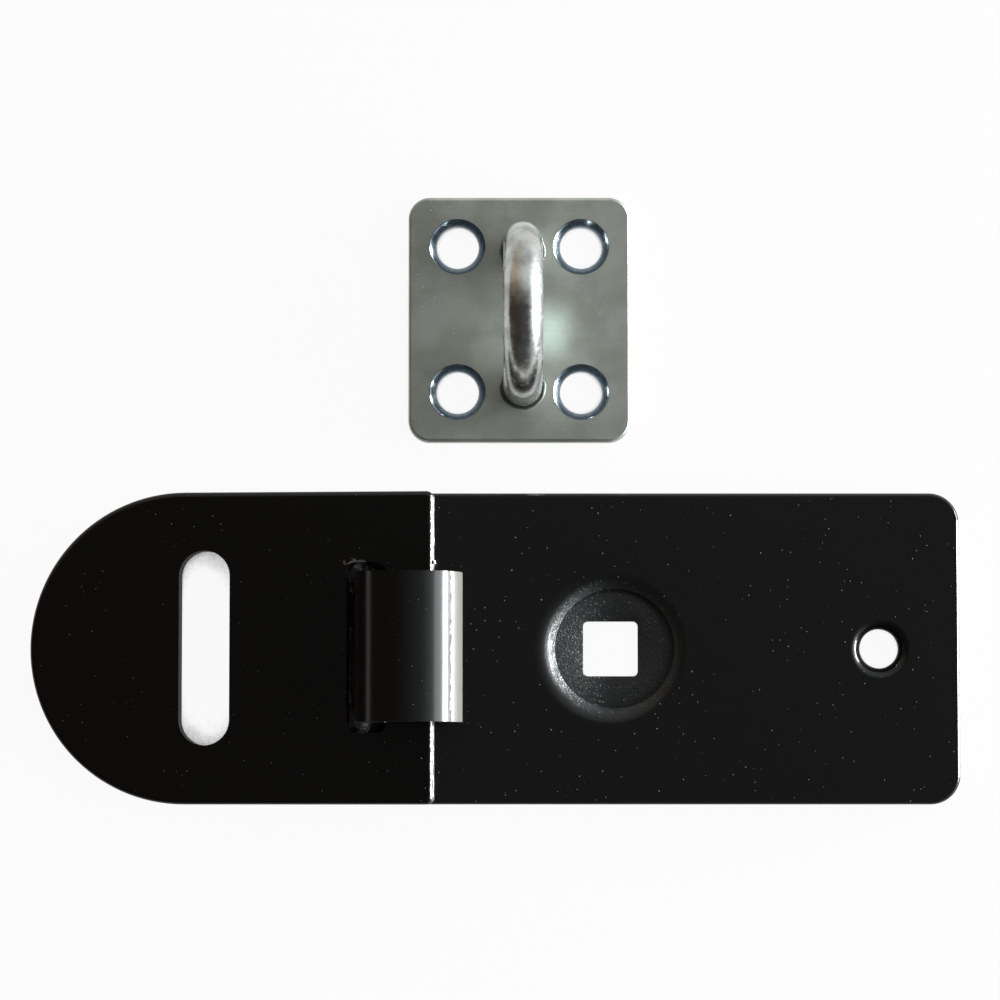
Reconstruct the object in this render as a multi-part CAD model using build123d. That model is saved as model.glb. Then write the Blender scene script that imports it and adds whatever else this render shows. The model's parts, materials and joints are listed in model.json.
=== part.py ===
"""Hasp and staple, pressed from steel sheet.

The hasp has two leaves. The base leaf is screwed and bolted to the door, and its tongue is rolled up into
an open eye. The strap is a flat leaf with a full-radius nose and a slot for the staple. It has no hinge pin:
the tongue comes up through a window in the strap and rolls over the narrow bar that the window leaves.
The staple is a wire loop, riveted into its own screw plate, and lies beside the hasp.

Frame: millimetres, +Z up from the mounting plane, +X from the hinge towards the free end of the base leaf,
+Y towards the staple. The origin is at the middle of the coach bolt hole, on the mounting plane. Each piece is
drawn with X counted from the hinge axis, and all of them are moved together at the end.
"""

import math
import os

from build123d import *

# Steel strip that both leaves are pressed from
strip_width = 38.5

# Base leaf
leaf_thickness = 2.5
leaf_reach = 68.1
leaf_corner_radius = 3.7
shoulder_reach = 5.0
shoulder_corner_radius = 0.8
relief_slit_width = 1.2
relief_slit_depth = 1.5

# Rolled eye
eye_bore_radius = 4.1
eye_width = 18.3
eye_seam_gap = 0.15

# Strap
strap_thickness = 2.5
strap_reach = 47.2
strap_corner_radius = 0.8
bar_width = 5.8
bar_clearance = 0.25
window_length = 4.8
window_side_clearance = 1.35
window_corner_radius = 1.0
slot_distance = 25.4
slot_side_clearance = 0.75
slot_end_clearance = 1.1

# Coach bolt hole in its pressed dish
bolt_distance = 24.9
bolt_square = 6.8
bolt_square_corner_radius = 0.6
dish_rim_radius = 9.55
dish_foot_radius = 6.9
dish_shoulder_radius = 2.9
dish_wall_angle = 40.0
dish_coin_radius = 7.4
dish_coin_offset = 0.5
dish_coin_step = 0.1
dish_coin_fall = 0.12
dish_crest_radius = 5.6
dish_funnel_angle = 9.0

# Wood screw hole of the base leaf
screw_end_margin = 9.9
screw_hole_radius = 2.45
screw_sink_radius = 3.4
screw_sink_softening = 0.35

# Staple plate
plate_thickness = 2.0
plate_length_x = 27.6
plate_length_y = 30.6
plate_corner_radius = 2.7
plate_screw_spacing_x = 15.4
plate_screw_spacing_y = 18.2
plate_screw_hole_radius = 2.65
plate_screw_sink_radius = 3.45
staple_place_x = 13.6
staple_place_y = 41.0

# Staple loop
loop_wire_diameter = 4.8
loop_leg_spacing = 17.0
loop_height = 22.0
loop_offset = 0.4
loop_collar_gap = 0.5
rivet_flare = 0.8

# Angle of the head of a wood screw, for every countersink
screw_head_angle = 82.0

# Edges that the press rolls over or that are broken on the upper side of sheared sheet
leaf_edge_break = 0.4
strap_edge_rounding = 0.6
plate_edge_break = 0.35

# How far a cutting tool runs past the sheet
overrun = 1.0

screw_distance = leaf_reach - screw_end_margin
hinge_height = eye_bore_radius + leaf_thickness
hinge_axis = Axis((0, 0, hinge_height), (0, 1, 0))
bar_drop = math.sqrt((eye_bore_radius - bar_clearance) ** 2 - (bar_width / 2) ** 2)
window_width = eye_width + 2 * window_side_clearance
slot_width = loop_wire_diameter + 2 * slot_side_clearance
slot_length = loop_leg_spacing + loop_wire_diameter + 2 * slot_end_clearance


def resting_droop():
    """Angle in degrees by which the strap hangs below level when its nose lies on the mounting plane."""
    nose_swing = math.hypot(strap_reach, bar_drop)
    nose_below_axis = math.degrees(math.asin(hinge_height / nose_swing))
    return nose_below_axis - math.degrees(math.atan2(bar_drop, strap_reach))


def upper_outline(sheet_part, height):
    """Edges of a flat part that lie in the plane at this height."""
    return sheet_part.edges().filter_by_position(Axis.Z, height - 1e-4, height + 1e-4)


def drill(x, y, radius, thickness):
    """Round tool through a sheet that lies on the mounting plane."""
    return Pos(x, y, thickness / 2) * Cylinder(radius, thickness + 2 * overrun)


def countersink(x, y, hole_radius, sink_radius, thickness):
    """Cone tool for a screw head, which opens at the top of a sheet that lies on the mounting plane."""
    sink_depth = (sink_radius - hole_radius) / math.tan(math.radians(screw_head_angle / 2))
    cone = Cone(hole_radius, sink_radius, sink_depth)
    return Pos(x, y, thickness - sink_depth / 2) * cone


def rolled_tongue():
    """Tongue of the base leaf, rolled round the hinge axis until its end meets the leaf again."""
    outer_radius = eye_bore_radius + leaf_thickness
    seam_height = leaf_thickness + eye_seam_gap
    end_angle = math.acos((hinge_height - seam_height) / outer_radius)
    end_direction = (math.sin(end_angle), -math.cos(end_angle))
    outer_end = (outer_radius * end_direction[0], hinge_height + outer_radius * end_direction[1])
    inner_end = (eye_bore_radius * end_direction[0], hinge_height + eye_bore_radius * end_direction[1])
    root_x = relief_slit_depth + overrun
    with BuildSketch(Plane.XZ) as section:
        with BuildLine():
            Line((root_x, 0), (0, 0))
            ThreePointArc((0, 0), (-outer_radius * math.sin(end_angle / 2),
                                   hinge_height + outer_radius * math.cos(end_angle / 2)), outer_end)
            Line(outer_end, inner_end)
            ThreePointArc(inner_end, (-eye_bore_radius * math.sin(end_angle / 2),
                                      hinge_height + eye_bore_radius * math.cos(end_angle / 2)),
                          (0, leaf_thickness))
            Line((0, leaf_thickness), (root_x, leaf_thickness))
            Line((root_x, leaf_thickness), (root_x, 0))
        make_face()
    return extrude(section.sketch, eye_width / 2, both=True)


def shoulder_foot():
    """Radius and height of the point where the dish's rounded shoulder goes over into its straight wall."""
    wall_angle = math.radians(dish_wall_angle)
    radius = dish_rim_radius - dish_shoulder_radius * math.sin(wall_angle)
    return radius, leaf_thickness - dish_shoulder_radius * (1 - math.cos(wall_angle))


def dish_floor_height():
    """Height of the floor at the foot of the dish's wall."""
    wall_radius, wall_height = shoulder_foot()
    return wall_height - (wall_radius - dish_foot_radius) * math.tan(math.radians(dish_wall_angle))


def dish_tool():
    """Revolved tool for the dish: a rounded shoulder, a straight wall and a flat floor."""
    floor = dish_floor_height()
    above = leaf_thickness + overrun
    rim = (dish_rim_radius, leaf_thickness)
    with BuildSketch(Plane.XZ) as section:
        with BuildLine():
            TangentArc(rim, shoulder_foot(), tangent=(-1, 0))
            Polyline(shoulder_foot(), (dish_foot_radius, floor), (0, floor), (0, above),
                     (dish_rim_radius, above), rim)
        make_face()
    return Pos(bolt_distance, 0, 0) * revolve(section.sketch, Axis.Z)


def coining_tool():
    """Revolved tool for the coined ring round the bolt hole, struck a little off the middle of the dish."""
    crest = dish_floor_height() - dish_coin_step
    middle = crest - dish_crest_radius * math.tan(math.radians(dish_funnel_angle))
    above = leaf_thickness + overrun
    with BuildSketch(Plane.XZ) as section:
        with BuildLine():
            Polyline((0, above), (0, middle), (dish_crest_radius, crest), (dish_coin_radius, crest - dish_coin_fall),
                     (dish_coin_radius, above), close=True)
        make_face()
    return Pos(bolt_distance + dish_coin_offset, 0, 0) * revolve(section.sketch, Axis.Z)


def base_leaf():
    """Base leaf: flat plate with two shoulders, bolt and screw holes, and the rolled eye, in one piece."""
    length = leaf_reach + shoulder_reach
    plate = Pos((leaf_reach - shoulder_reach) / 2, 0, leaf_thickness / 2) * Box(length, strip_width, leaf_thickness)
    upright = plate.edges().filter_by(Axis.Z).sort_by(Axis.X)
    plate = fillet(upright[:2], shoulder_corner_radius)
    upright = plate.edges().filter_by(Axis.Z).sort_by(Axis.X)
    plate = fillet(upright[-2:], leaf_corner_radius)
    plate = chamfer(upper_outline(plate, leaf_thickness), leaf_edge_break)

    relief_length = shoulder_reach + relief_slit_depth
    relief = Pos(relief_slit_depth - relief_length / 2 - overrun / 2, 0, leaf_thickness / 2) * Box(
        relief_length + overrun, eye_width + 2 * relief_slit_width, leaf_thickness + 2 * overrun)
    plate = plate - relief + rolled_tongue()

    plate = plate - dish_tool() - coining_tool()
    square = RectangleRounded(bolt_square, bolt_square, bolt_square_corner_radius)
    plate = plate - Pos(bolt_distance, 0, -overrun) * extrude(square, leaf_thickness + 2 * overrun)

    plate = plate - drill(screw_distance, 0, screw_hole_radius, leaf_thickness)
    plate = plate - countersink(screw_distance, 0, screw_hole_radius, screw_sink_radius, leaf_thickness)
    rim = [edge for edge in upper_outline(plate, leaf_thickness)
           if edge.geom_type == GeomType.CIRCLE and abs(edge.radius - screw_sink_radius) < 1e-3]
    return chamfer(rim, screw_sink_softening)


def strap():
    """Strap: flat leaf with nose, staple slot and tongue window, hung in the eye with its nose on the plane."""
    nose_radius = strip_width / 2
    bar_half = bar_width / 2
    level = -bar_drop
    body_length = strap_reach - nose_radius + bar_half
    outline = Pos(bar_half - body_length / 2, 0) * Rectangle(body_length, strip_width)
    outline = outline + Pos(nose_radius - strap_reach, 0) * Circle(nose_radius)
    outline = outline.face()
    ends = outline.vertices().group_by(Axis.X)[-1]
    outline = Sketch() + fillet(ends, strap_corner_radius)

    window = Pos(-bar_half - window_length / 2, 0) * RectangleRounded(
        window_length, window_width, window_corner_radius)
    slot = Pos(-slot_distance, 0) * SlotOverall(slot_length, slot_width, rotation=90)
    leaf = extrude(outline, strap_thickness)
    leaf = fillet(upper_outline(leaf, strap_thickness), strap_edge_rounding)
    leaf = leaf - extrude(window, strap_thickness) - extrude(slot, strap_thickness)
    leaf = Pos(0, 0, hinge_height + level) * leaf
    return leaf.rotate(hinge_axis, -resting_droop())


def leg_places():
    """Centres of the two loop legs on the staple plate, a little off its middle line."""
    x = staple_place_x + loop_offset
    return [(x, staple_place_y + side * loop_leg_spacing / 2) for side in (-1, 1)]


def rivet_bevel(x, y):
    """Cone at the back of the plate that the end of a leg is hammered into, flush with the plate."""
    wire_radius = loop_wire_diameter / 2
    return Pos(x, y, rivet_flare / 2) * Cone(wire_radius + rivet_flare, wire_radius, rivet_flare)


def staple_plate():
    """Screw plate of the staple, with four countersunk screw holes and the two leg holes."""
    outline = RectangleRounded(plate_length_x, plate_length_y, plate_corner_radius)
    plate = extrude(outline, plate_thickness)
    plate = chamfer(upper_outline(plate, plate_thickness), plate_edge_break)
    plate = Pos(staple_place_x, staple_place_y, 0) * plate
    for side_x in (-1, 1):
        for side_y in (-1, 1):
            x = staple_place_x + side_x * plate_screw_spacing_x / 2
            y = staple_place_y + side_y * plate_screw_spacing_y / 2
            plate = plate - drill(x, y, plate_screw_hole_radius, plate_thickness)
            plate = plate - countersink(x, y, plate_screw_hole_radius, plate_screw_sink_radius, plate_thickness)
    wire_radius = loop_wire_diameter / 2
    for x, y in leg_places():
        plate = plate - drill(x, y, wire_radius, plate_thickness)
        plate = plate - countersink(x, y, wire_radius, wire_radius + loop_collar_gap, plate_thickness)
        plate = plate - rivet_bevel(x, y)
    return plate


def staple_loop():
    """Wire loop of the staple: two straight legs, a half-round crown and the two riveted ends."""
    wire_radius = loop_wire_diameter / 2
    crown_radius = loop_leg_spacing / 2
    spring_height = loop_height - wire_radius - crown_radius
    near, far = (y - staple_place_y for _, y in leg_places())
    with BuildPart() as loop:
        with BuildLine(Plane.YZ) as path:
            Line((near, 0), (near, spring_height))
            ThreePointArc((near, spring_height), (0, spring_height + crown_radius), (far, spring_height))
            Line((far, spring_height), (far, 0))
        with BuildSketch(Plane.XY.offset(0)):
            with Locations((0, near)):
                Circle(wire_radius)
        sweep(path=path.line)
    body = Pos(staple_place_x + loop_offset, staple_place_y, 0) * loop.part
    for x, y in leg_places():
        body = body + rivet_bevel(x, y)
    return body


def main():
    """Builds the four pieces and writes one STEP file for each."""
    os.makedirs("parts", exist_ok=True)
    pieces = {
        "base_leaf": base_leaf(),
        "strap": strap(),
        "staple_plate": staple_plate(),
        "staple_loop": staple_loop(),
    }
    for name, piece in pieces.items():
        export_step(Pos(-bolt_distance, 0, 0) * piece, f"parts/{name}.step")
    print("resting droop, degrees", round(resting_droop(), 3))


main()
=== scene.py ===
"""Finishes for a hasp and its staple: satin black coated leaves and a bright zinc plated staple.

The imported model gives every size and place. Each visible piece is a smooth-shaded copy of its solid, dressed
with a procedural finish. Small marks of how the pieces were made, such as the burr that shears leave along
an edge and the nibs in the coat, are meshes grown by Geometry Nodes.

Sizes set here are in millimetres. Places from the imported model, the table and the lamps are in metres.
"""

import json
import logging
import math
from dataclasses import dataclass
from enum import Enum
from typing import Any, Iterable, Sequence

import bmesh
import bpy
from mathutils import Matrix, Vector


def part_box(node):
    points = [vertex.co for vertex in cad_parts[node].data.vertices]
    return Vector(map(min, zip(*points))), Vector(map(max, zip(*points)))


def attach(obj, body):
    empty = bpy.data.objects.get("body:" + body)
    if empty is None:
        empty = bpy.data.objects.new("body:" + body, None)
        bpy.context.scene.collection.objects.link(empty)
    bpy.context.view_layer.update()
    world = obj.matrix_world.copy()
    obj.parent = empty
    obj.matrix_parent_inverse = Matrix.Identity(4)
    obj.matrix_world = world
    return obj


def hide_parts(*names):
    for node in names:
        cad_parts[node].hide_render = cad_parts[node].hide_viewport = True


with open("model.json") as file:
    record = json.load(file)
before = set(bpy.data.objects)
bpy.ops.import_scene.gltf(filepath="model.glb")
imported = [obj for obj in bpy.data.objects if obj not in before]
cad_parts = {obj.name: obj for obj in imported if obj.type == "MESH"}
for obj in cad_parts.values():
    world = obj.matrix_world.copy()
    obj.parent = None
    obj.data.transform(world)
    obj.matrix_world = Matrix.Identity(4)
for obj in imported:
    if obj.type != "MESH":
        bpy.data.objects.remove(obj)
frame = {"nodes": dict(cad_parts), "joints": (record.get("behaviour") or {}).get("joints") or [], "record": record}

log = logging.getLogger("hasp")
MM = 0.001

# The kinds of node that are used most, and the soft change that a range of values has here.
MATHS = "ShaderNodeMath"
VECTORS = "ShaderNodeVectorMath"
RANGE = "ShaderNodeMapRange"
NOISE = "ShaderNodeTexNoise"
MIX = "ShaderNodeMix"
EASED = {"interpolation_type": "SMOOTHSTEP"}

# Sockets of a Mix node, whose names repeat: its share, two numbers and two colours, and the mixed colour.
SHARE, NUMBER_A, NUMBER_B, COLOUR_A, COLOUR_B = 0, 2, 3, 6, 7
MIXED = 2

# Most values of a Noise texture lie between these two.
NOISE_SPAN = (0.3, 0.7)


class Slot(Enum):
    """Material slots of the record. Pieces hold one, while their finish is given to them directly."""

    BLACK = "black_paint"
    ZINC = "zinc_plate"


class Body(Enum):
    """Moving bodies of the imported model."""

    BASE = "base"
    STRAP = "strap"


def linear(colour: str) -> tuple[float, float, float, float]:
    """Turns an sRGB hex colour into linear light.

    Args:
        colour: six hex digits after a hash sign.

    Returns:
        Red, green, blue and an alpha of 1.
    """
    parts = [int(colour[i:i + 2], 16) / 255 for i in (1, 3, 5)]
    red, green, blue = (p / 12.92 if p <= 0.04045 else ((p + 0.055) / 1.055) ** 2.4 for p in parts)
    return red, green, blue, 1.0


def node(tree: bpy.types.NodeTree, kind: str, values: dict[Any, Any] | Sequence[Any] = (),
         **settings: Any) -> bpy.types.Node:
    """Adds a node, sets it up and links it.

    Args:
        tree: the tree that gets the node.
        kind: the node's type name.
        values: for each input, in order or by name: a value, a socket, or a node for its first output.
        settings: the node's own properties.

    Returns:
        The new node.
    """
    made = tree.nodes.new(kind)
    for name, value in settings.items():
        setattr(made, name, value)
    for key, value in values.items() if isinstance(values, dict) else enumerate(values):
        if isinstance(value, bpy.types.Node):
            value = value.outputs[0]
        if isinstance(value, bpy.types.NodeSocket):
            tree.links.new(value, made.inputs[key])
        else:
            made.inputs[key].default_value = value
    return made


@dataclass(frozen=True)
class Recipe:
    """A material in the making: its tree, its shader, and where the shaded point lies, in millimetres."""

    material: bpy.types.Material
    tree: bpy.types.NodeTree
    shader: bpy.types.Node
    place: bpy.types.Node
    split: bpy.types.Node

    @classmethod
    def named(cls, name: str) -> "Recipe":
        """Starts a material on Object coordinates.

        Args:
            name: the material's name.

        Returns:
            The recipe, with nothing linked to its shader.
        """
        material = bpy.data.materials.new(name)
        material.use_nodes = True
        tree = material.node_tree
        tree.nodes.clear()
        shader = node(tree, "ShaderNodeBsdfPrincipled")
        node(tree, "ShaderNodeOutputMaterial", {"Surface": shader})
        found = node(tree, "ShaderNodeTexCoord").outputs["Object"]
        place = node(tree, "ShaderNodeMapping", {"Vector": found, "Scale": (1 / MM,) * 3})
        return cls(material, tree, shader, place, node(tree, "ShaderNodeSeparateXYZ", (place,)))

    def add(self, kind: str, values: dict[Any, Any] | Sequence[Any] = (), **settings: Any) -> bpy.types.Node:
        """Adds a node to the material, as node() does."""
        return node(self.tree, kind, values, **settings)

    def dress(self, colour: bpy.types.NodeSocket, rough: bpy.types.Node, relief: bpy.types.Node) -> None:
        """Links the shader to what varies over the piece.

        Args:
            colour: its base colour.
            rough: its roughness.
            relief: the height of its surface, in millimetres.
        """
        bump = self.add("ShaderNodeBump", {"Strength": 1.0, "Distance": MM, "Height": relief})
        self.tree.links.new(colour, self.shader.inputs["Base Color"])
        self.tree.links.new(rough.outputs[0], self.shader.inputs["Roughness"])
        self.tree.links.new(bump.outputs["Normal"], self.shader.inputs["Normal"])


@dataclass(frozen=True)
class TornEnd:
    """A leaf's sheared end, in millimetres: its X, its torn rim's depth, and half its straight length."""

    x: float
    depth: float
    half: float


@dataclass(frozen=True)
class SatinBlackCoat:
    """Stoved satin black enamel on pressed mild steel: nearly black, smooth and closed, with a soft gloss.

    It pulls thin on the sheared end that faces the free side, where the torn steel is rough and bright. In
    the dish the steel was coined, and its grain glints through. On the dish's left side, which faces the lamp,
    the ring is drawn lighter and more of its grains are bare, as painted light. On the flank of the rolled eye
    that faces the lamp, bare steel is painted as a highlight, and a chip beside the window is bare.
    """

    name: str
    colour: str
    ior: float = 1.45
    roughness: float = 0.19

    # The sheared walls are rougher below the enamel than the rolled flats, so they shine less.
    wall_roughness: float = 0.62
    wall_tilt: tuple[float, float] = (0.15, 0.6)

    # Orange peel: waves about 0.55 mm wide and 3.5 micrometres high, which only ruffle a reflection.
    peel_size: float = 0.55
    peel_height: float = 0.0035

    # Bare steel, matt and bright, for every bare mark and for the painted highlight. Torn steel is left bare in
    # patches of 0.45 mm, with an edge that wanders by 0.12 mm.
    bare_steel_colour: str = "#93928d"
    bare_steel_roughness: float = 0.42
    torn_patch: float = 0.45
    torn_wander: float = 0.12
    torn_fade: float = 0.08
    torn_facing: tuple[float, float] = (0.12, 0.35)
    torn_taper: float = 0.6
    torn_thin: tuple[float, float] = (0.3, 0.42)
    torn_least: float = 0.35

    # Coined ring: grains of 0.17 mm and up to 0.06 mm high, drawn somewhat coarse so that they show.
    ring_radius: float = 7.4
    ring_fade: tuple[float, float] = (-0.1, 1.5)
    grain_size: float = 0.17
    grain_height: float = 0.06
    grain_roughness: float = 0.12
    rubbed_colour: str = "#252827"
    # Painted light: over this span of X from the dish's middle, the ring is drawn lighter towards its left side,
    # which faces the lamp, and more of its grains are bare there.
    lit_side_colour: str = "#4a5153"
    lit_side_span: tuple[float, float] = (-6.5, 0.5)
    bare_share: float = 0.26
    bare_least: float = 0.03
    bare_edge: float = 0.06
    bare_strength: float = 0.8

    # Painted highlight on the flank of the rolled eye that faces the lamp, drawn as bare steel: a band 1.5 mm
    # wide whose edge wanders by 0.1 mm, over about 0.6 mm.
    highlight_width: float = 1.5
    highlight_share: float = 0.72
    highlight_patch: float = 0.625
    highlight_wander: float = 0.1
    highlight_fade: tuple[float, float] = (0.25, 0.1)
    highlight_rise: float = 0.6

    # Chip: about 2.1 mm by 0.8 mm, with crumbs of half a millimetre along its rim.
    chip_stretch: tuple[float, float, float] = (0.45, 1.2, 1.0)
    chip_rim: tuple[float, float] = (0.4, 0.55)
    chip_share: float = 0.75
    chip_wander: float = 0.3
    crumbs_per_mm: float = 1.9

    def build(self, end: TornEnd, dish: Vector | None = None, roll: Vector | None = None,
              chip: Vector | None = None) -> bpy.types.Material:
        """Makes the enamel.

        Args:
            end: the leaf's sheared end.
            dish: middle of the coined dish, or None on a leaf without one.
            roll: the rolled eye's point that reaches furthest over the leaf, or None on a leaf without one.
            chip: middle of a chip in the enamel, or None on a leaf without one.

        Returns:
            The material.
        """
        recipe = Recipe.named(self.name)
        normal = recipe.add("ShaderNodeSeparateXYZ", (recipe.add("ShaderNodeTexCoord").outputs["Normal"],))
        upright = recipe.add(MATHS, (normal.outputs["Z"],), operation="ABSOLUTE")
        rough = recipe.add(RANGE, (upright, *self.wall_tilt, self.wall_roughness, self.roughness), **EASED)
        peel = recipe.add(NOISE, {"Vector": recipe.place, "Scale": 1 / self.peel_size, "Detail": 2.0})
        relief = recipe.add(MATHS, (peel, self.peel_height), operation="MULTIPLY")
        coat: Any = linear(self.colour)
        # The share of bare steel covers the torn end, the chip, the bare grains and the painted highlight on the
        # eye's flank.
        bare = self.torn_end(recipe, normal, end)
        if chip is not None:
            bare = recipe.add(MATHS, (bare, self.chipped(recipe, chip)), operation="MAXIMUM")
        # The eye's flank that faces the lamp gets a painted highlight of bare steel.
        if roll is not None:
            bare = recipe.add(MATHS, (bare, self.painted_highlight_flank(recipe, roll)), operation="MAXIMUM")
        if dish is not None:
            coined = self.coined(recipe, dish)
            rough = recipe.add(MATHS, (coined, self.grain_roughness, rough), operation="MULTIPLY_ADD")
            grain = recipe.add("ShaderNodeTexVoronoi", {"Vector": recipe.place,
                                                        "Scale": 1 / self.grain_size})
            height = recipe.add(MATHS, (coined, self.grain_height), operation="MULTIPLY")
            relief = recipe.add(MATHS, (grain, height, relief), operation="MULTIPLY_ADD")
            # Painted light: towards the dish's left side, which faces the lamp, the ring is drawn lighter and more
            # grains are bare.
            lit_full_x, lit_none_x = (dish.x + reach for reach in self.lit_side_span)
            lit_side = recipe.add(RANGE, (recipe.split.outputs["X"], lit_full_x, lit_none_x, 1.0, 0.0), **EASED)
            rubbed_and_lit = recipe.add(MIX, {SHARE: lit_side, COLOUR_A: linear(self.rubbed_colour),
                                      COLOUR_B: linear(self.lit_side_colour)}, data_type="RGBA")
            covered = recipe.add(MIX, {SHARE: coined, COLOUR_A: coat, COLOUR_B: rubbed_and_lit.outputs[MIXED]},
                                 data_type="RGBA")
            coat = covered.outputs[MIXED]
            glint = self.glint(recipe, grain, lit_side, coined)
            bare = recipe.add(MATHS, (bare, glint), operation="MAXIMUM")
        colour = recipe.add(MIX, {SHARE: bare, COLOUR_A: coat, COLOUR_B: linear(self.bare_steel_colour)},
                            data_type="RGBA")
        rough = recipe.add(MIX, {SHARE: bare, NUMBER_A: rough, NUMBER_B: self.bare_steel_roughness})
        recipe.dress(colour.outputs[MIXED], rough, relief)
        recipe.tree.links.new(bare.outputs[0], recipe.shader.inputs["Metallic"])
        recipe.shader.inputs["IOR"].default_value = self.ior
        return recipe.material

    def torn_end(self, recipe: Recipe, normal: bpy.types.Node, end: TornEnd) -> bpy.types.Node:
        """Finds the torn bare steel, in patches on the rim and wall of the sheared end.

        Args:
            recipe: the enamel in the making.
            normal: the piece's normal, split.
            end: the sheared end.

        Returns:
            The share of bare steel.
        """
        patches = recipe.add(NOISE, {"Vector": recipe.place, "Scale": 1 / self.torn_patch, "Detail": 3.0})
        ragged = recipe.add(RANGE, (patches, *NOISE_SPAN, -self.torn_wander, self.torn_wander), **EASED)
        back = recipe.add(MATHS, (recipe.split.outputs["X"], ragged), operation="ADD")
        rim = end.x - end.depth
        near_end = recipe.add(RANGE, (back, rim, rim + self.torn_fade), **EASED)
        facing = recipe.add(RANGE, (normal.outputs["X"], *self.torn_facing), **EASED)
        aside = recipe.add(MATHS, (recipe.split.outputs["Y"],), operation="ABSOLUTE")
        along = recipe.add(MATHS, (aside, ragged), operation="ADD")
        straight = recipe.add(RANGE, (along, end.half, end.half + self.torn_taper, 1.0, 0.0), **EASED)
        left = recipe.add(RANGE, (patches, *self.torn_thin, self.torn_least, 1.0), **EASED)
        share = recipe.add(MATHS, (facing, near_end), operation="MULTIPLY")
        share = recipe.add(MATHS, (share, straight), operation="MULTIPLY")
        return recipe.add(MATHS, (share, left), operation="MULTIPLY")

    def painted_highlight_flank(self, recipe: Recipe, roll: Vector) -> bpy.types.Node:
        """Finds the flank of the rolled eye that faces the lamp, where bare steel is painted as a highlight.

        Args:
            recipe: the enamel in the making.
            roll: the point of the eye that reaches furthest over the leaf.

        Returns:
            The share of bare steel, which paints the highlight.
        """
        highlight_noise = recipe.add(NOISE, {"Vector": recipe.place, "Scale": 1 / self.highlight_patch, "Detail": 3.0})
        ragged = recipe.add(RANGE, (highlight_noise, *NOISE_SPAN, -self.highlight_wander, self.highlight_wander), **EASED)
        out = recipe.add(MATHS, (recipe.split.outputs["X"], ragged), operation="ADD")
        inside = roll.x - self.highlight_width
        inner = recipe.add(RANGE, (out, inside, inside + self.highlight_fade[0]), **EASED)
        outer = recipe.add(RANGE, (out, roll.x, roll.x + self.highlight_fade[1], 1.0, 0.0), **EASED)
        above = recipe.add(RANGE, (recipe.split.outputs["Z"], roll.z, roll.z + self.highlight_rise), **EASED)
        band = recipe.add(MATHS, (inner, outer), operation="MULTIPLY")
        band = recipe.add(MATHS, (band, above), operation="MULTIPLY")
        return recipe.add(MATHS, (band, self.highlight_share), operation="MULTIPLY")

    def chipped(self, recipe: Recipe, chip: Vector) -> bpy.types.Node:
        """Finds a ragged chip, more than twice as long as it is wide.

        Args:
            recipe: the enamel in the making.
            chip: the chip's middle.

        Returns:
            The share of bare steel.
        """
        offset = recipe.add(VECTORS, (recipe.place, chip), operation="SUBTRACT")
        squeezed = recipe.add(VECTORS, (offset, self.chip_stretch), operation="MULTIPLY")
        away = recipe.add(VECTORS, (squeezed,), operation="LENGTH")
        crumbs = recipe.add(NOISE, {"Vector": recipe.place, "Scale": self.crumbs_per_mm, "Detail": 3.0})
        ragged = recipe.add(RANGE, (crumbs, *NOISE_SPAN, -self.chip_wander, self.chip_wander), **EASED)
        reach = recipe.add(MATHS, (away.outputs["Value"], ragged), operation="ADD")
        return recipe.add(RANGE, (reach, *self.chip_rim, self.chip_share, 0.0), **EASED)

    def coined(self, recipe: Recipe, dish: Vector) -> bpy.types.Node:
        """Finds the coined ring, which fades out over the dish's soft shoulder.

        Args:
            recipe: the enamel in the making.
            dish: the dish's middle.

        Returns:
            The share of coined grain.
        """
        flat = recipe.add(VECTORS, (recipe.place, (1.0, 1.0, 0.0)), operation="MULTIPLY")
        away = recipe.add(VECTORS, (flat, (dish.x, dish.y, 0.0)), operation="DISTANCE")
        full, none = (self.ring_radius + fade for fade in self.ring_fade)
        return recipe.add(RANGE, (away.outputs["Value"], full, none, 1.0, 0.0), **EASED)

    def glint(self, recipe: Recipe, grain: bpy.types.Node, lit_side: bpy.types.Node,
              coined: bpy.types.Node) -> bpy.types.Node:
        """Picks the grains that glint through the enamel.

        Args:
            recipe: the enamel in the making.
            grain: the Voronoi texture, whose cells are the grains.
            lit_side: the share of painted light on the dish's left side, which faces the lamp.
            coined: the share of coined grain.

        Returns:
            The share of bare steel.
        """
        chance = recipe.add("ShaderNodeSeparateXYZ", (grain.outputs["Color"],))
        # More grains are bare on the side that faces the lamp, as painted light.
        share = recipe.add(MATHS, (lit_side, self.bare_share, self.bare_least), operation="MULTIPLY_ADD")
        drawn = recipe.add(MATHS, (chance.outputs["X"], share), operation="ADD")
        picked = recipe.add(RANGE, (drawn, 1.0, 1.0 + self.bare_edge), **EASED)
        strength = recipe.add(MATHS, (coined, self.bare_strength), operation="MULTIPLY")
        return recipe.add(MATHS, (picked, strength), operation="MULTIPLY")


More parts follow.
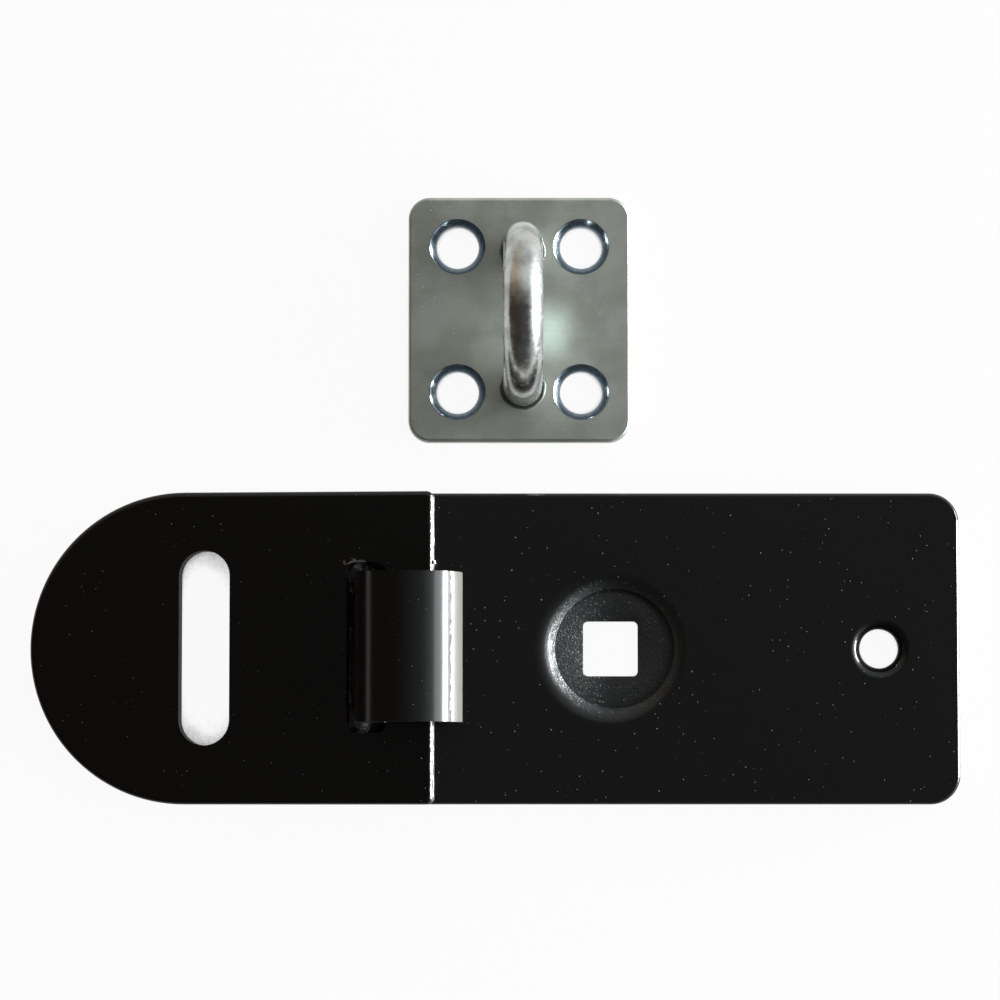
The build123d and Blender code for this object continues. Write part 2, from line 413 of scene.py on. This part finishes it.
@dataclass(frozen=True)
class DriedDust:
    """Workshop dust that settled on a wet finish and dried in: pale matt grains.

    They are darker and lighter in patches of 1.5 mm, so that a speckled face doesn't look printed.
    """

    name: str
    colour: str
    dark_colour: str
    roughness: float = 0.5
    patch_size: float = 1.5
    patch_span: tuple[float, float] = (0.35, 0.65)

    def build(self) -> bpy.types.Material:
        """Makes the dust.

        Returns:
            The material.
        """
        recipe = Recipe.named(self.name)
        patches = recipe.add(NOISE, {"Vector": recipe.place, "Scale": 1 / self.patch_size, "Detail": 2.0})
        share = recipe.add(RANGE, (patches, *self.patch_span), **EASED)
        colour = recipe.add(MIX, {SHARE: share, COLOUR_A: linear(self.dark_colour),
                                  COLOUR_B: linear(self.colour)}, data_type="RGBA")
        recipe.tree.links.new(colour.outputs[MIXED], recipe.shader.inputs["Base Color"])
        recipe.shader.inputs["Roughness"].default_value = self.roughness
        return recipe.material


@dataclass(frozen=True)
class HolePattern:
    """Four countersunk holes: their middle in metres, their spacing along X and Y, and the sinks' radius."""

    middle: Vector
    spacing: tuple[float, float]
    sink_radius: float


@dataclass(frozen=True)
class BrightZinc:
    """Bright zinc plate on steel, passivated clear blue: a soft grey mirror, clouded, with rolling lines.

    The lines run along X. They and the grain of the plate are drawn coarser than the real ones, which are
    too fine to show. The turned countersinks are smoother and bluer, and drawn darker as painted shade in
    their hollow.
    """

    name: str
    colour: str = "#bfc5bc"

    # Clouds of the passivation, 5 mm wide: they keep the mirror from looking even.
    cloud_colour: str = "#adb3a9"
    cloud_size: float = 5.0
    cloud_span: tuple[float, float] = (0.36, 0.62)
    roughness: float = 0.46
    roughness_spread: tuple[float, float] = (-0.05, 0.06)

    # Rolling lines, 0.35 mm apart and 20 mm long, and grain of 0.22 mm that is 1.4 micrometres high.
    line_spacing: float = 0.35
    line_length: float = 20.0
    line_share: float = 0.12
    grain_size: float = 0.22
    grain_height: float = 0.0014

    # Countersinks: a bluer passivation, drawn darker as painted shade in their hollow.
    sink_blue_and_shade: str = "#93a1ab"
    sink_roughness: float = 0.2
    sink_fade: float = 0.12

    def build(self, pattern: HolePattern | None = None) -> bpy.types.Material:
        """Makes the plating.

        Args:
            pattern: the countersunk holes, or None on a piece without them.

        Returns:
            The material.
        """
        recipe = Recipe.named(self.name)
        cloud = recipe.add(NOISE, {"Vector": recipe.place, "Scale": 1 / self.cloud_size, "Detail": 4.0})
        across = 1 / self.line_spacing
        rolled = recipe.add("ShaderNodeMapping", {"Vector": recipe.place,
                                                  "Scale": (1 / self.line_length, across, across)})
        lines = recipe.add(NOISE, {"Vector": rolled, "Scale": 1.0, "Detail": 3.0})
        grain = recipe.add(NOISE, {"Vector": recipe.place, "Scale": 1 / self.grain_size, "Detail": 3.0})
        lined = recipe.add(MIX, {SHARE: self.line_share, NUMBER_A: cloud, NUMBER_B: lines})
        shade = recipe.add(RANGE, (lined, *self.cloud_span), **EASED)
        colour = recipe.add(MIX, {SHARE: shade, COLOUR_A: linear(self.cloud_colour),
                                  COLOUR_B: linear(self.colour)}, data_type="RGBA")
        smoothest, roughest = (self.roughness + change for change in self.roughness_spread)
        rough = recipe.add(RANGE, (grain, *NOISE_SPAN, smoothest, roughest), **EASED)
        if pattern is not None:
            sink = self.countersunk(recipe, pattern)
            colour = recipe.add(MIX, {SHARE: sink, COLOUR_A: colour.outputs[MIXED],
                                      COLOUR_B: linear(self.sink_blue_and_shade)}, data_type="RGBA")
            smoother = self.sink_roughness - self.roughness
            rough = recipe.add(MATHS, (sink, smoother, rough), operation="MULTIPLY_ADD")
        relief = recipe.add(MATHS, (lines, self.grain_height * self.line_share), operation="MULTIPLY")
        relief = recipe.add(MATHS, (grain, self.grain_height, relief), operation="MULTIPLY_ADD")
        recipe.dress(colour.outputs[MIXED], rough, relief)
        recipe.shader.inputs["Metallic"].default_value = 1.0
        return recipe.material

    def countersunk(self, recipe: Recipe, pattern: HolePattern) -> bpy.types.Node:
        """Finds the turned countersinks, by folding the plate on its two centre lines onto one hole.

        Args:
            recipe: the plating in the making.
            pattern: the countersunk holes.

        Returns:
            The share of turned steel.
        """
        offset = recipe.add(VECTORS, (recipe.place, pattern.middle / MM), operation="SUBTRACT")
        folded = recipe.add(VECTORS, (offset,), operation="ABSOLUTE")
        hole = (pattern.spacing[0] / 2, pattern.spacing[1] / 2, 0.0)
        moved = recipe.add(VECTORS, (folded, hole), operation="SUBTRACT")
        flat = recipe.add(VECTORS, (moved, (1.0, 1.0, 0.0)), operation="MULTIPLY")
        away = recipe.add(VECTORS, (flat,), operation="LENGTH")
        rim = pattern.sink_radius
        return recipe.add(RANGE, (away.outputs["Value"], rim, rim + self.sink_fade, 1.0, 0.0), **EASED)


@dataclass(frozen=True)
class DressedCopy:
    """Smooth-shaded copy of a solid, which stands for it in the render.

    The copy is welded, its flats are made whole, and the sharp rims of its holes are broken, as deburring
    leaves them. The broken edge of the sheet itself looks round.
    """

    node_name: str
    name: str
    body: Body
    slot: Slot
    finish: bpy.types.Material

    # Lengths are in millimetres and angles in degrees.
    weld: float = 0.001
    flat_angle: float = 0.4
    rim_break: float = 0.07
    rim_segments: int = 2
    sharp_angle: float = 32.0
    round_angle: float = 50.0
    flat_weight: int = 100

    def build(self, holes: Sequence[tuple[Vector, float]] = ()) -> bpy.types.Object:
        """Makes the copy.

        Args:
            holes: middle and radius, in metres, of the surroundings of each hole whose rims are broken.

        Returns:
            The new piece.
        """
        mesh = frame["nodes"][self.node_name].data.copy()
        mesh.name = self.name
        work = bmesh.new()
        work.from_mesh(mesh)
        bmesh.ops.remove_doubles(work, verts=work.verts, dist=self.weld * MM)
        bmesh.ops.dissolve_limit(work, angle_limit=math.radians(self.flat_angle), verts=work.verts,
                                 edges=work.edges)
        rims = [edge for edge in work.edges if self.is_rim(edge, holes)]
        bmesh.ops.bevel(work, geom=rims, offset=self.rim_break * MM, segments=self.rim_segments, profile=0.5,
                        affect="EDGES", clamp_overlap=True)
        for face in work.faces:
            face.smooth = True
        for edge in work.edges:
            turn = edge.calc_face_angle(0.0)
            edge.smooth = len(edge.link_faces) == 2 and turn < math.radians(self.round_angle)
        work.to_mesh(mesh)
        work.free()
        mesh.materials.clear()
        mesh.materials.append(self.finish)
        piece = bpy.data.objects.new(self.name, mesh)
        bpy.context.scene.collection.objects.link(piece)
        weighted = piece.modifiers.new("even_flats", "WEIGHTED_NORMAL")
        weighted.keep_sharp = True
        weighted.weight = self.flat_weight
        as_plain_mesh(piece)
        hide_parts(self.node_name)
        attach(piece, self.body.value)
        log.info("%s stands for %s with %d faces", self.name, self.node_name, len(piece.data.polygons))
        return piece

    def is_rim(self, edge: bmesh.types.BMEdge, holes: Sequence[tuple[Vector, float]]) -> bool:
        """Tells whether an edge is a sharp rim near one of the holes.

        Args:
            edge: the edge.
            holes: middle and radius of each hole's surroundings.

        Returns:
            True for a rim.
        """
        if len(edge.link_faces) != 2 or edge.calc_face_angle(0.0) < math.radians(self.sharp_angle):
            return False
        middle = (edge.verts[0].co + edge.verts[1].co) / 2
        return any((middle - centre).xy.length < radius for centre, radius in holes)


def as_plain_mesh(piece: bpy.types.Object) -> None:
    """Replaces a piece's mesh by the result of its modifiers and removes them.

    Args:
        piece: the piece.
    """
    bpy.context.view_layer.update()
    graph = bpy.context.evaluated_depsgraph_get()
    result = bpy.data.meshes.new_from_object(piece.evaluated_get(graph), depsgraph=graph)
    result.name = piece.name
    piece.modifiers.clear()
    piece.data = result


def grown(name: str, tree: bpy.types.NodeTree, source: bpy.types.Mesh, inputs: dict[str, Any], body: Body) -> bpy.types.Object:
    """Makes a piece with a Geometry Nodes tree and turns it into a plain mesh.

    Args:
        name: the new piece's name.
        tree: the Geometry Nodes tree.
        source: the mesh that the tree starts from.
        inputs: a value for each of the tree's named inputs.
        body: the body that the piece moves with.

    Returns:
        The new piece.
    """
    piece = bpy.data.objects.new(name, source.copy())
    bpy.context.scene.collection.objects.link(piece)
    modifier = piece.modifiers.new("grow", "NODES")
    modifier.node_group = tree
    for socket in tree.interface.items_tree:
        if socket.item_type == "SOCKET" and socket.in_out == "INPUT" and socket.name in inputs:
            modifier[socket.identifier] = inputs[socket.name]
    as_plain_mesh(piece)
    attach(piece, body.value)
    log.info("%s has %d faces", name, len(piece.data.polygons))
    return piece


def geometry_tree(name: str,
                  inputs: dict[str, tuple[str, Any]]) -> tuple[bpy.types.NodeTree, bpy.types.Node]:
    """Starts a Geometry Nodes tree with a geometry input, named inputs and a geometry output.

    Args:
        name: the tree's name.
        inputs: a socket type and a default for each named input.

    Returns:
        The tree and its Group Input node.
    """
    tree = bpy.data.node_groups.new(name, "GeometryNodeTree")
    tree.interface.new_socket("Geometry", in_out="INPUT", socket_type="NodeSocketGeometry")
    for label, (kind, default) in inputs.items():
        socket = tree.interface.new_socket(label, in_out="INPUT", socket_type=kind)
        socket.default_value = default
    tree.interface.new_socket("Geometry", in_out="OUTPUT", socket_type="NodeSocketGeometry")
    return tree, node(tree, "NodeGroupInput")


def end_tree(tree: bpy.types.NodeTree, geometry: bpy.types.Node, finish: bpy.types.Material) -> None:
    """Ends a Geometry Nodes tree in smooth, real geometry with its material.

    Args:
        tree: the tree.
        geometry: the node whose first output is the geometry.
        finish: the material.
    """
    real = node(tree, "GeometryNodeRealizeInstances", (geometry,))
    dressed = node(tree, "GeometryNodeSetMaterial", {"Geometry": real, "Material": finish})
    node(tree, "NodeGroupOutput", (dressed,))


@dataclass(frozen=True)
class DustNibs:
    """Dust nibs in a finish: tiny flat grains on faces that look up, seen as specks in side light."""

    finish: bpy.types.Material
    slot: Slot
    radius: float
    flatness: float = 0.6
    level: float = 0.95
    size_range: tuple[float, float] = (0.35, 1.25)

    def tree(self) -> bpy.types.NodeTree:
        """Builds the tree that scatters grains over the mesh that it starts from.

        Returns:
            The Geometry Nodes tree.
        """
        tree, given = geometry_tree("dust_nibs", {
            "Density": ("NodeSocketFloat", 20000.0),
            "Radius": ("NodeSocketFloat", self.radius * MM),
            "Seed": ("NodeSocketInt", 1),
        })
        upward = node(tree, "ShaderNodeSeparateXYZ", (node(tree, "GeometryNodeInputNormal"),))
        level = node(tree, "FunctionNodeCompare", (upward.outputs["Z"], self.level),
                     operation="GREATER_THAN")
        points = node(tree, "GeometryNodeDistributePointsOnFaces", {
            "Mesh": given.outputs["Geometry"], "Selection": level,
            "Density": given.outputs["Density"], "Seed": given.outputs["Seed"]})
        # Twenty faces are enough for a grain of a tenth of a millimetre.
        grain = node(tree, "GeometryNodeMeshIcoSphere", {"Radius": given.outputs["Radius"],
                                                         "Subdivisions": 1})
        flat = node(tree, "GeometryNodeTransform", {"Geometry": grain, "Scale": (1.0, 1.0, self.flatness)})
        smooth = node(tree, "GeometryNodeSetShadeSmooth", (flat,))
        # The numbers of a Random Value node are its inputs 2 and 3 and its output 1, whose names repeat.
        smallest, largest = self.size_range
        size = node(tree, "FunctionNodeRandomValue", {2: smallest, 3: largest,
                                                      "Seed": given.outputs["Seed"]}, data_type="FLOAT")
        grains = node(tree, "GeometryNodeInstanceOnPoints", {
            "Points": points.outputs["Points"], "Instance": smooth,
            "Rotation": points.outputs["Rotation"], "Scale": size.outputs[1]})
        end_tree(tree, grains, self.finish)
        return tree

    def scatter(self, name: str, source: bpy.types.Object, body: Body, density: float,
                seed: int) -> bpy.types.Object:
        """Scatters nibs over a dressed piece.

        Args:
            name: the new piece's name.
            source: the dressed piece.
            body: its body.
            density: nibs for each square metre.
            seed: fixes their places.

        Returns:
            The nibs as one piece.
        """
        inputs = {"Density": density, "Radius": self.radius * MM, "Seed": seed}
        return grown(name, self.tree(), source.data, inputs, body)


@dataclass(frozen=True)
class ShearBurr:
    """Ragged burr that the shears leave along an edge, coated over with the sheet."""

    finish: bpy.types.Material
    slot: Slot
    radius: float = 0.12
    thickness: tuple[float, float] = (0.45, 1.3)
    wobble: float = 0.14
    step: float = 0.25
    sides: int = 10

    # Teeth 0.7 mm wide, as shears with a slight gap tear them.
    teeth_per_metre: float = 1400.0

    def tree(self) -> bpy.types.NodeTree:
        """Builds the tree that runs a thin, uneven ridge along the edges of the mesh that it starts from.

        Returns:
            The Geometry Nodes tree.
        """
        tree, given = geometry_tree("shear_burr", {
            "Radius": ("NodeSocketFloat", self.radius * MM),
            "Wobble": ("NodeSocketFloat", self.wobble * MM),
            "Step": ("NodeSocketFloat", self.step * MM),
            "Seed": ("NodeSocketFloat", 1.0),
        })
        path = node(tree, "GeometryNodeMeshToCurve", (given.outputs["Geometry"],))
        even = node(tree, "GeometryNodeResampleCurve", {"Curve": path, "Length": given.outputs["Step"]},
                    mode="LENGTH")
        place = node(tree, "GeometryNodeInputPosition")
        ragged = node(tree, NOISE, {"Vector": place, "W": given.outputs["Seed"],
                                    "Scale": self.teeth_per_metre, "Detail": 2.0}, noise_dimensions="4D")
        thick = node(tree, RANGE, (ragged, *NOISE_SPAN, *self.thickness))
        centred = node(tree, VECTORS, (ragged.outputs["Color"], (0.5, 0.5, 0.5)), operation="SUBTRACT")
        sway = node(tree, VECTORS, {0: centred, "Scale": given.outputs["Wobble"]}, operation="SCALE")
        moved = node(tree, "GeometryNodeSetPosition", {"Geometry": even, "Offset": sway})
        section = node(tree, "GeometryNodeCurvePrimitiveCircle", {"Radius": given.outputs["Radius"],
                                                                  "Resolution": self.sides})
        ridge = node(tree, "GeometryNodeCurveToMesh", {"Curve": moved, "Profile Curve": section,
                                                       "Scale": thick, "Fill Caps": True})
        end_tree(tree, node(tree, "GeometryNodeSetShadeSmooth", (ridge,)), self.finish)
        return tree

    def along(self, name: str, runs: Iterable[tuple[Vector, Vector]], body: Body,
              seed: float) -> bpy.types.Object:
        """Runs a burr along straight edges.

        Args:
            name: the new piece's name.
            runs: the two ends of each edge, in metres.
            body: the body that it moves with.
            seed: fixes its shape.

        Returns:
            The burr as one piece.
        """
        lines = bpy.data.meshes.new(name)
        ends = [corner for run in runs for corner in run]
        lines.from_pydata(ends, [(i, i + 1) for i in range(0, len(ends), 2)], [])
        inputs = {"Radius": self.radius * MM, "Wobble": self.wobble * MM, "Step": self.step * MM,
                  "Seed": seed}
        return grown(name, self.tree(), lines, inputs, body)


def mount(name: str) -> dict[str, Any]:
    """Mount of the record that has a name."""
    return next(entry for entry in frame["record"]["mounts"] if entry["name"] == name)


@dataclass(frozen=True)
class Hasp:
    """The two hinged leaves, with the nibs in their coat and the burr along the strap's heel."""

    leaf_colour: str = "#111211"
    leaf_torn_depth: float = 0.55
    # Painted shade: the strap has the same enamel as the leaf, drawn darker.
    strap_shaded_colour: str = "#060605"
    strap_torn_depth: float = 0.42
    corner_radius: float = 3.7
    window_chip: tuple[float, float, float] = (-31.5, 10.4, 5.9)
    eye_half_width: float = 9.15
    eye_radius: float = 6.6

    # Rims are broken this far from the middle of the dish and of the screw hole.
    dish_radius: float = 12.0
    screw_radius: float = 5.0

    # The coining die sat this far off the middle of the square hole.
    coin_offset: float = 0.5

    # Nibs for each square metre. The strap has fewer.
    nib_radius: float = 0.085
    leaf_nib_density: float = 130000.0
    strap_nib_density: float = 78000.0

    # The burr sits low on the heel's rounding, by these shares of it, and ends short of eye and corners.
    heel_rounding: float = 0.6
    burr_inset: float = 0.3
    burr_drop: float = 0.85
    burr_gap: float = 0.5
    corner_gap: float = 0.9
    bead_radius: float = 0.4

    def build(self) -> None:
        """Dresses both leaves and adds their nibs and burrs."""
        leaf_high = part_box("base_leaf")[1]
        strap_low, strap_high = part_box("strap")
        dish = Vector(mount("coach_bolt_hole")["pos_m"]) + Vector((self.coin_offset * MM, 0, 0))
        screw = Vector(mount("leaf_screw_hole")["pos_m"])
        leaf_end = TornEnd(leaf_high.x / MM, self.leaf_torn_depth, leaf_high.y / MM - self.corner_radius)
        strap_end = TornEnd(strap_high.x / MM, self.strap_torn_depth, strap_high.y / MM - self.corner_gap)
        leaf_coat = SatinBlackCoat("satin_black_enamel_leaf", self.leaf_colour).build(
            leaf_end, dish=dish / MM, roll=self.roll_flank())
        strap_coat = SatinBlackCoat("satin_black_enamel_strap", self.strap_shaded_colour).build(
            strap_end, chip=Vector(self.window_chip))
        holes = [(dish, self.dish_radius * MM), (screw, self.screw_radius * MM)]
        leaf = DressedCopy("base_leaf", "base_leaf_enamelled", Body.BASE, Slot.BLACK, leaf_coat).build(holes)
        strap = DressedCopy("strap", "strap_enamelled", Body.STRAP, Slot.BLACK, strap_coat).build()
        grit = DriedDust("pale_grit", "#464845", "#343533").build()
        nibs = DustNibs(grit, Slot.BLACK, self.nib_radius)
        nibs.scatter("base_leaf_nibs", leaf, Body.BASE, self.leaf_nib_density, seed=3)
        nibs.scatter("strap_nibs", strap, Body.STRAP, self.strap_nib_density, seed=7)
        self.heel_burr(strap_coat, strap_low, strap_high)

    def roll_flank(self) -> Vector:
        """Point of the rolled eye's flank that reaches furthest over the leaf, in millimetres."""
        return Vector(frame["joints"][0]["pos_m"]) / MM + Vector((self.eye_radius, 0, 0))

    def heel_burr(self, coat: bpy.types.Material, low: Vector, high: Vector) -> None:
        """Runs the ragged burr along the strap's heel on both sides of the eye, with a bead of torn steel.

        Args:
            coat: the strap's enamel.
            low: the lowest corner of the strap's box.
            high: the highest corner of the strap's box.
        """
        x = high.x - self.heel_rounding * self.burr_inset * MM
        z = high.z - self.heel_rounding * self.burr_drop * MM
        gap = self.corner_gap * MM
        inner = (self.eye_half_width + self.burr_gap) * MM
        runs = [(Vector((x, low.y + gap, z)), Vector((x, -inner, z))),
                (Vector((x, inner, z)), Vector((x, high.y - gap, z)))]
        ShearBurr(coat, Slot.BLACK).along("strap_heel_burr", runs, Body.STRAP, seed=1.0)
        middle = Vector((x, inner + self.bead_radius * 2 * MM, z))
        reach = Vector((0, self.bead_radius / 2 * MM, 0))
        bead = ShearBurr(coat, Slot.BLACK, self.bead_radius)
        bead.along("strap_heel_bead", [(middle - reach, middle + reach)], Body.STRAP, seed=4.0)


@dataclass(frozen=True)
class Staple:
    """The screw plate and the wire loop riveted into it."""

    sink_radius: float = 3.45
    rim_radius: float = 4.6

    # Dust for each square metre: finer than in the black coat, and denser.
    dust_radius: float = 0.05
    dust_density: float = 180000.0

    def build(self) -> None:
        """Dresses the plate, with the dust on it, and the loop."""
        entry = mount("staple_screw_holes")
        spacing = (entry["dims"]["spacing_x_mm"], entry["dims"]["spacing_y_mm"])
        pattern = HolePattern(Vector(entry["pos_m"]), spacing, self.sink_radius)
        plating = BrightZinc("bright_zinc_plate").build(pattern)
        # Drawn wire plates brighter than sheet: a sharper mirror, with a grain 0.7 mm wide.
        wire = BrightZinc("bright_zinc_wire", colour="#cfd2cf", cloud_colour="#a9aaa6", cloud_size=2.5,
                          roughness=0.24, line_share=0.0, grain_size=0.7, grain_height=0.0045).build()
        plate = DressedCopy("staple_plate", "staple_plate_plated", Body.BASE, Slot.ZINC, plating).build(
            self.rims(pattern))
        dust = DriedDust("pale_dust", "#c4c7c3", "#acafab").build()
        nibs = DustNibs(dust, Slot.ZINC, self.dust_radius)
        nibs.scatter("staple_plate_nibs", plate, Body.BASE, self.dust_density, seed=5)
        DressedCopy("staple_loop", "staple_loop_plated", Body.BASE, Slot.ZINC, wire).build()

    def rims(self, pattern: HolePattern) -> list[tuple[Vector, float]]:
        """Lists the surroundings of the plate's holes.

        Args:
            pattern: the four screw holes.

        Returns:
            Middle and radius, in metres, of those of each screw hole and each leg hole.
        """
        radius = self.rim_radius * MM
        step = Vector(pattern.spacing) * MM / 2
        screws = [pattern.middle + Vector((step.x * x, step.y * y, 0)) for x in (-1, 1) for y in (-1, 1)]
        low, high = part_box("staple_loop")
        legs = [Vector(((low.x + high.x) / 2, y, 0)) for y in (low.y, high.y)]
        return [(middle, radius) for middle in screws + legs]


def hang(data: bpy.types.Light, place: tuple[float, float, float],
         target: tuple[float, float, float]) -> None:
    """Hangs a lamp in its place, facing its target.

    Args:
        data: the lamp's light.
        place: where it hangs, in metres.
        target: the point that it faces, in metres.
    """
    lamp = bpy.data.objects.new(data.name, data)
    lamp.location = place
    lamp.rotation_euler = (Vector(target) - Vector(place)).to_track_quat("-Z", "Y").to_euler()
    bpy.context.scene.collection.objects.link(lamp)


@dataclass(frozen=True)
class SoftLamp:
    """A soft rectangular lamp. Its radiance is its brightness as a mirror shows it, where 1 is white."""

    name: str
    place: tuple[float, float, float]
    size: tuple[float, float]
    radiance: float
    colour: str = "#fbfdff"
    target: tuple[float, float, float] = (0.0, 0.0, 0.005)

    def build(self) -> None:
        """Hangs the lamp in its place, facing its target."""
        data = bpy.data.lights.new(self.name, "AREA")
        data.shape = "RECTANGLE"
        data.size, data.size_y = self.size
        data.color = linear(self.colour)[:3]
        data.energy = self.radiance * math.pi * self.size[0] * self.size[1]
        hang(data, self.place, self.target)


@dataclass(frozen=True)
class GlintLamp:
    """A narrow lamp that puts a small pool of cool light on the staple's plate, beside the loop."""

    place: tuple[float, float, float] = (0.13, 0.05, 0.45)
    target: tuple[float, float, float] = (-0.0081, 0.0394, 0.002)
    power: float = 2.4
    angle: float = 1.0
    radius: float = 0.0012
    colour: str = "#dff6ff"

    def build(self) -> None:
        """Hangs the lamp in its place, facing the pool of light."""
        data = bpy.data.lights.new("glint", "SPOT")
        data.color = linear(self.colour)[:3]
        data.energy = self.power
        data.spot_size = math.radians(self.angle)
        data.spot_blend = 1.0
        data.shadow_soft_size = self.radius
        hang(data, self.place, self.target)


@dataclass(frozen=True)
class PaleTable:
    """Matt white table top. It shows plain white, but keeps its shadow where the hasp all but covers it."""

    size: float = 3.0
    colour: str = "#e6e6e4"
    glow: float = 0.94
    mirror_share: float = 0.6
    shade_colour: str = "#2c2c2b"
    shade_reach: float = 25.0
    shade_span: tuple[float, float] = (0.23, 0.33)

    def build(self) -> None:
        """Lays the table."""
        half = self.size / 2
        corners = [(-half, -half, 0), (half, -half, 0), (half, half, 0), (-half, half, 0)]
        mesh = bpy.data.meshes.new("table")
        mesh.from_pydata(corners, [], [(0, 1, 2, 3)])
        mesh.materials.append(self.top())
        table = bpy.data.objects.new("table", mesh)
        bpy.context.scene.collection.objects.link(table)

    def top(self) -> bpy.types.Material:
        """Makes the table's matt white, which glows for the camera and in mirrors.

        Returns:
            The material.
        """
        material = bpy.data.materials.new("pale_table")
        material.use_nodes = True
        tree = material.node_tree
        tree.nodes.clear()
        seen = node(tree, "ShaderNodeLightPath")
        mirrored = node(tree, MATHS, (seen.outputs["Is Glossy Ray"], self.mirror_share),
                        operation="MULTIPLY")
        direct = node(tree, MATHS, (seen.outputs["Is Camera Ray"], mirrored), operation="MAXIMUM")
        direct = node(tree, MATHS, (seen.outputs["Is Transmission Ray"], direct), operation="MAXIMUM")
        open_sky = node(tree, "ShaderNodeAmbientOcclusion", {"Distance": self.shade_reach * MM})
        lit = node(tree, RANGE, (open_sky.outputs["AO"], *self.shade_span), **EASED)
        share = node(tree, MATHS, (direct, self.glow), operation="MULTIPLY")
        share = node(tree, MATHS, (share, lit), operation="MULTIPLY")
        shade = node(tree, MIX, {SHARE: lit, COLOUR_A: linear(self.shade_colour),
                                 COLOUR_B: linear(self.colour)}, data_type="RGBA")
        matt = node(tree, "ShaderNodeBsdfDiffuse", {"Color": shade.outputs[MIXED]})
        glow = node(tree, "ShaderNodeEmission", {"Color": (1, 1, 1, 1), "Strength": 1.0})
        both = node(tree, "ShaderNodeMixShader", (share, matt, glow))
        node(tree, "ShaderNodeOutputMaterial", {"Surface": both})
        return material


@dataclass(frozen=True)
class Room:
    """Weak light all round: cool and brighter at the right and the far side, warm at the left, dim near by.

    Each span goes from where its light begins to where it is full, along the direction's X or Y.
    """

    right: float = 1.0
    right_span: tuple[float, float] = (0.45, 0.95)
    far: float = 0.7
    far_span: tuple[float, float] = (0.1, 0.6)
    near: float = 0.1
    above: float = 0.115
    near_span: tuple[float, float] = (-0.95, -0.1)
    left_colour: str = "#d0bfa9"
    right_colour: str = "#f0f5f8"
    colour_span: tuple[float, float] = (-0.8, 0.3)

    def build(self) -> None:
        """Fills the world with the light."""
        world = bpy.data.worlds.new("room")
        bpy.context.scene.world = world
        world.use_nodes = True
        tree = world.node_tree
        tree.nodes.clear()
        way = node(tree, "ShaderNodeSeparateXYZ", (node(tree, "ShaderNodeTexCoord").outputs["Generated"],))
        right = node(tree, RANGE, (way.outputs["X"], *self.right_span, 0.0, self.right), **EASED)
        far = node(tree, RANGE, (way.outputs["Y"], *self.far_span, 0.0, self.far), **EASED)
        near = node(tree, RANGE, (way.outputs["Y"], *self.near_span, self.near, self.above), **EASED)
        level = node(tree, MATHS, (right, far), operation="ADD")
        level = node(tree, MATHS, (level, near), operation="ADD")
        side = node(tree, RANGE, (way.outputs["X"], *self.colour_span), **EASED)
        colour = node(tree, MIX, {SHARE: side, COLOUR_A: linear(self.left_colour),
                                  COLOUR_B: linear(self.right_colour)}, data_type="RGBA")
        back = node(tree, "ShaderNodeBackground", {"Color": colour.outputs[MIXED], "Strength": level})
        node(tree, "ShaderNodeOutputWorld", {"Surface": back})


@dataclass(frozen=True)
class Studio:
    """Table, light and a camera that looks almost straight down, at the sheet top's measured scale."""

    lamps: tuple[SoftLamp, ...] = (
        SoftLamp("low_window", (0.62, 0.07, 0.054), (0.5, 0.095), 112.0),
        SoftLamp("glow_over_window", (0.585, 0.05, 0.285), (0.6, 0.2), 3.8),
    )
    pixels_per_mm: float = 8.061
    image: float = 1000.0
    origin_px: tuple[float, float] = (610.5, 648.0)
    sheet_top: float = 2.5
    distance: float = 496.0
    tilt: float = 4.0
    sensor: float = 36.0
    nearest: float = 0.01

    def build(self) -> None:
        """Sets up the table, the light and the camera."""
        PaleTable().build()
        Room().build()
        for lamp in self.lamps:
            lamp.build()
        GlintLamp().build()
        self.camera()
        bpy.context.scene.view_settings.view_transform = "Standard"
        log.info("studio has %d lamps", len(bpy.data.lights))

    def camera(self) -> None:
        """Places the camera over the picture's middle, tilted a little towards the near side."""
        data = bpy.data.cameras.new("camera")
        data.sensor_width = self.sensor
        data.lens = self.sensor * self.distance * self.pixels_per_mm / self.image
        data.clip_start = self.nearest
        lean = math.radians(self.tilt)
        middle = self.image / 2
        right = (middle - self.origin_px[0]) / self.pixels_per_mm
        up = (self.origin_px[1] - middle) / self.pixels_per_mm / math.cos(lean)
        target = Vector((right, up, self.sheet_top)) * MM
        camera = bpy.data.objects.new("camera", data)
        camera.location = target + Vector((0.0, -math.sin(lean), math.cos(lean))) * self.distance * MM
        camera.rotation_euler = (lean, 0.0, 0.0)
        bpy.context.scene.collection.objects.link(camera)
        bpy.context.scene.camera = camera


def main() -> None:
    """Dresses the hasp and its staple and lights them."""
    logging.basicConfig(level=logging.INFO, format="%(name)s: %(message)s")
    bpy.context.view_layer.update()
    Hasp().build()
    Staple().build()
    Studio().build()


if __name__ == "__main__":
    main()
